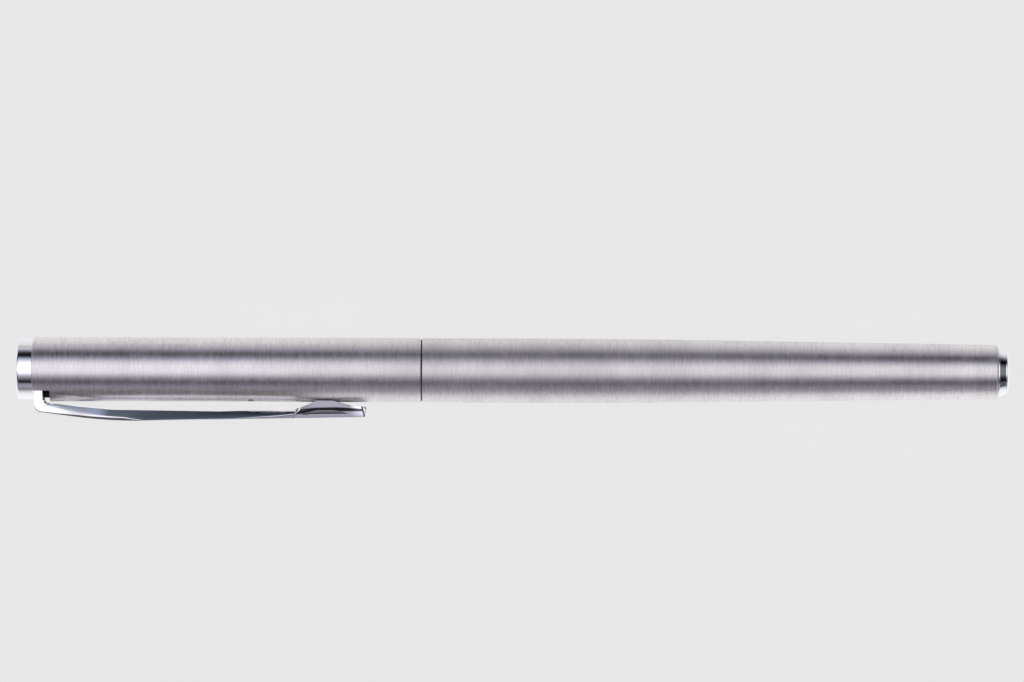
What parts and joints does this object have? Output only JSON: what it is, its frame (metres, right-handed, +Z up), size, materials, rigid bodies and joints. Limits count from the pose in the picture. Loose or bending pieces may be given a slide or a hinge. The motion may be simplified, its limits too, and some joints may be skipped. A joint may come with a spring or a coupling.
{
  "type": "technical pen",
  "caption": "Slim steel technical pen, capped: push-on cap with a sprung channel clip, tapering screw-on barrel, drawing cone with writing tube and drop weight, ink cartridge.",
  "frame": {"origin": "on the pen's axis at the barrel's front face, where cap and barrel meet", "axes": "+X along the pen from the cap to the tail, -Y towards the clip, +Z up"},
  "size_m": [0.1381, 0.0116, 0.009],
  "materials": {
    "brushed_tube": "brushed around the tube",
    "polished_trim": "mirror polish",
    "spring_steel": "satin",
    "turned_brass": "fine turned",
    "black_plastic": "fine matt",
    "grey_plastic": "fine matt",
    "code_plastic": "gloss",
    "clear_plastic": "translucent gloss",
    "black_rubber": "matt",
    "hard_steel": "drawn tube"
  },
  "bodies": {
    "section": {"grip_section": "black_plastic", "section_seal_ring": "black_rubber", "clamp_ring": "black_plastic", "colour_ring": "code_plastic", "nib_gasket": "black_rubber", "nib_cone": "grey_plastic", "writing_tube_hub": "hard_steel", "writing_tube": "hard_steel", "nib_end_cap": "grey_plastic", "ink_regulator": "black_plastic", "regulator_seal": "black_rubber", "cartridge_neck_seal": "black_rubber"},
    "weight": {"drop_weight": "turned_brass", "cleaning_wire": "hard_steel"},
    "clutch": {"cap_clutch": "spring_steel"},
    "cap": {"cap_tube": "brushed_tube", "cap_finial": "polished_trim", "clip_anchor_bush": "turned_brass", "cap_liner": "grey_plastic", "cap_seal": "black_rubber"},
    "clip": {"clip": "polished_trim"},
    "union": {"union_washer": "black_plastic"},
    "thread_seal": {"barrel_seal_ring": "black_rubber"},
    "barrel": {"barrel_tube": "brushed_tube", "barrel_thread_bush": "turned_brass", "barrel_end_plug": "polished_trim", "end_plug_ring": "black_rubber"},
    "cartridge": {"cartridge_shell": "clear_plastic"}
  },
  "joints": [
    {"name": "cap_pull", "type": "slide", "parent": "section", "child": "clutch", "axis": [-1, 0, 0], "range_m": [0, 0.06]},
    {"name": "cap_turn", "type": "hinge", "parent": "clutch", "child": "cap", "pos_m": [-0.005, 0, 0], "axis": [1, 0, 0], "continuous": true},
    {"name": "clip_flex", "type": "hinge", "parent": "cap", "child": "clip", "pos_m": [-0.0536, -0.0034, 0], "axis": [0, 0, -1], "range_deg": [0, 2.5], "stiffness_Nm_per_rad": 0.15},
    {"name": "barrel_pull", "type": "slide", "parent": "section", "child": "union", "axis": [1, 0, 0], "range_m": [0, 0.062]},
    {"name": "barrel_draw", "type": "slide", "parent": "union", "child": "thread_seal", "axis": [1, 0, 0], "range_m": [0, 0.004]},
    {"name": "barrel_turn", "type": "hinge", "parent": "thread_seal", "child": "barrel", "pos_m": [0.004, 0, 0], "axis": [1, 0, 0], "range_deg": [0, 1800]},
    {"name": "cartridge_pull", "type": "slide", "parent": "section", "child": "cartridge", "axis": [1, 0, 0], "range_m": [0, 0.01]},
    {"name": "weight_drop", "type": "slide", "parent": "section", "child": "weight", "axis": [1, 0, 0], "range_m": [0, 0.0024]}
  ],
  "couplings": [
    {"joint": "barrel_draw", "follows": "barrel_turn", "m_per_rad": 0.00012732}
  ]
}
